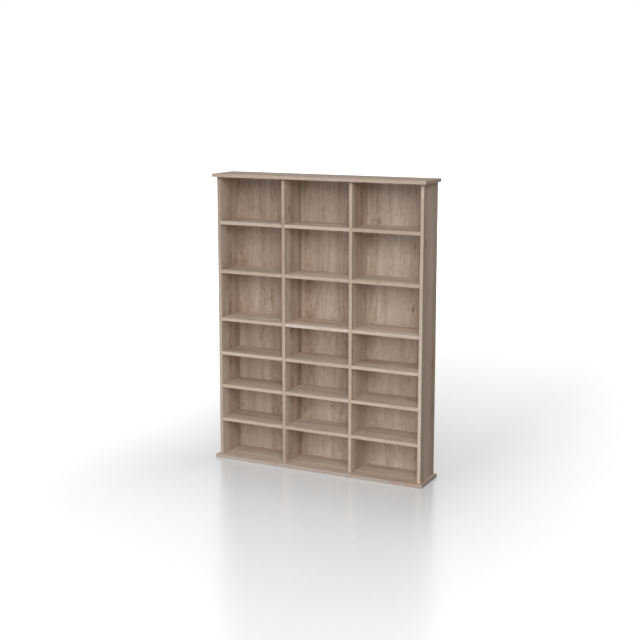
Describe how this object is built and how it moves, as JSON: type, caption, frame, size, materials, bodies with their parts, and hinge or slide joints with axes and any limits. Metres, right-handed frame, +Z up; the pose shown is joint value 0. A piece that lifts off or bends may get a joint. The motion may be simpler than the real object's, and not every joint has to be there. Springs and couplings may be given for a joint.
{
  "type": "cd rack",
  "caption": "Tall open media rack of oak-effect boards with overhanging top and bottom boards and fixed shelves in lower and higher rows for disc cases.",
  "frame": {"origin": "on the floor, below the middle of the overall box", "axes": "+Z up, -Y out of the open front, +X to the right as one faces the front"},
  "size_m": [1.02, 0.1834, 1.31],
  "materials": {
    "oak_upright_board": "oak-effect paper on chipboard, vertical grain",
    "oak_shelf_board": "oak-effect paper on chipboard, grain along the shelf",
    "oak_end_board": "oak-effect paper on chipboard, grain along the board",
    "oak_backing": "oak-effect print on hardboard, vertical grain",
    "oak_tone_cap": "moulded, satin",
    "zinc_cam": "die-cast zinc, dull",
    "plated_bolt": "bright zinc plate",
    "plated_screw": "bright zinc plate",
    "bright_pin": "bright wire"
  },
  "bodies": {
    "root": {"bottom_board": "oak_end_board", "top_board": "oak_end_board", "left_side": "oak_upright_board", "left_divider": "oak_upright_board", "right_divider": "oak_upright_board", "right_side": "oak_upright_board", "shelf_left_1": "oak_shelf_board", "shelf_left_2": "oak_shelf_board", "shelf_left_3": "oak_shelf_board", "shelf_left_4": "oak_shelf_board", "shelf_left_5": "oak_shelf_board", "shelf_left_6": "oak_shelf_board", "shelf_middle_1": "oak_shelf_board", "shelf_middle_2": "oak_shelf_board", "shelf_middle_3": "oak_shelf_board", "shelf_middle_4": "oak_shelf_board", "shelf_middle_5": "oak_shelf_board", "shelf_middle_6": "oak_shelf_board", "shelf_right_1": "oak_shelf_board", "shelf_right_2": "oak_shelf_board", "shelf_right_3": "oak_shelf_board", "shelf_right_4": "oak_shelf_board", "shelf_right_5": "oak_shelf_board", "shelf_right_6": "oak_shelf_board", "back_left": "oak_backing", "back_middle": "oak_backing", "back_right": "oak_backing", "back_pin_left_1": "bright_pin", "back_pin_left_2": "bright_pin", "back_pin_left_3": "bright_pin", "back_pin_left_4": "bright_pin", "back_pin_left_5": "bright_pin", "back_pin_middle_1": "bright_pin", "back_pin_middle_2": "bright_pin", "back_pin_middle_3": "bright_pin", "back_pin_middle_4": "bright_pin", "back_pin_middle_5": "bright_pin", "back_pin_right_1": "bright_pin", "back_pin_right_2": "bright_pin", "back_pin_right_3": "bright_pin", "back_pin_right_4": "bright_pin", "back_pin_right_5": "bright_pin", "cam_1": "zinc_cam", "cam_2": "zinc_cam", "cam_3": "zinc_cam", "cam_4": "zinc_cam", "cam_bolt_1": "plated_bolt", "cam_bolt_2": "plated_bolt", "cam_bolt_3": "plated_bolt", "cam_bolt_4": "plated_bolt", "cam_cap_1": "oak_tone_cap", "cam_cap_2": "oak_tone_cap", "cam_cap_3": "oak_tone_cap", "cam_cap_4": "oak_tone_cap", "bottom_screw_1": "plated_screw", "bottom_screw_2": "plated_screw", "bottom_screw_3": "plated_screw", "bottom_screw_4": "plated_screw"}
  },
  "joints": []
}
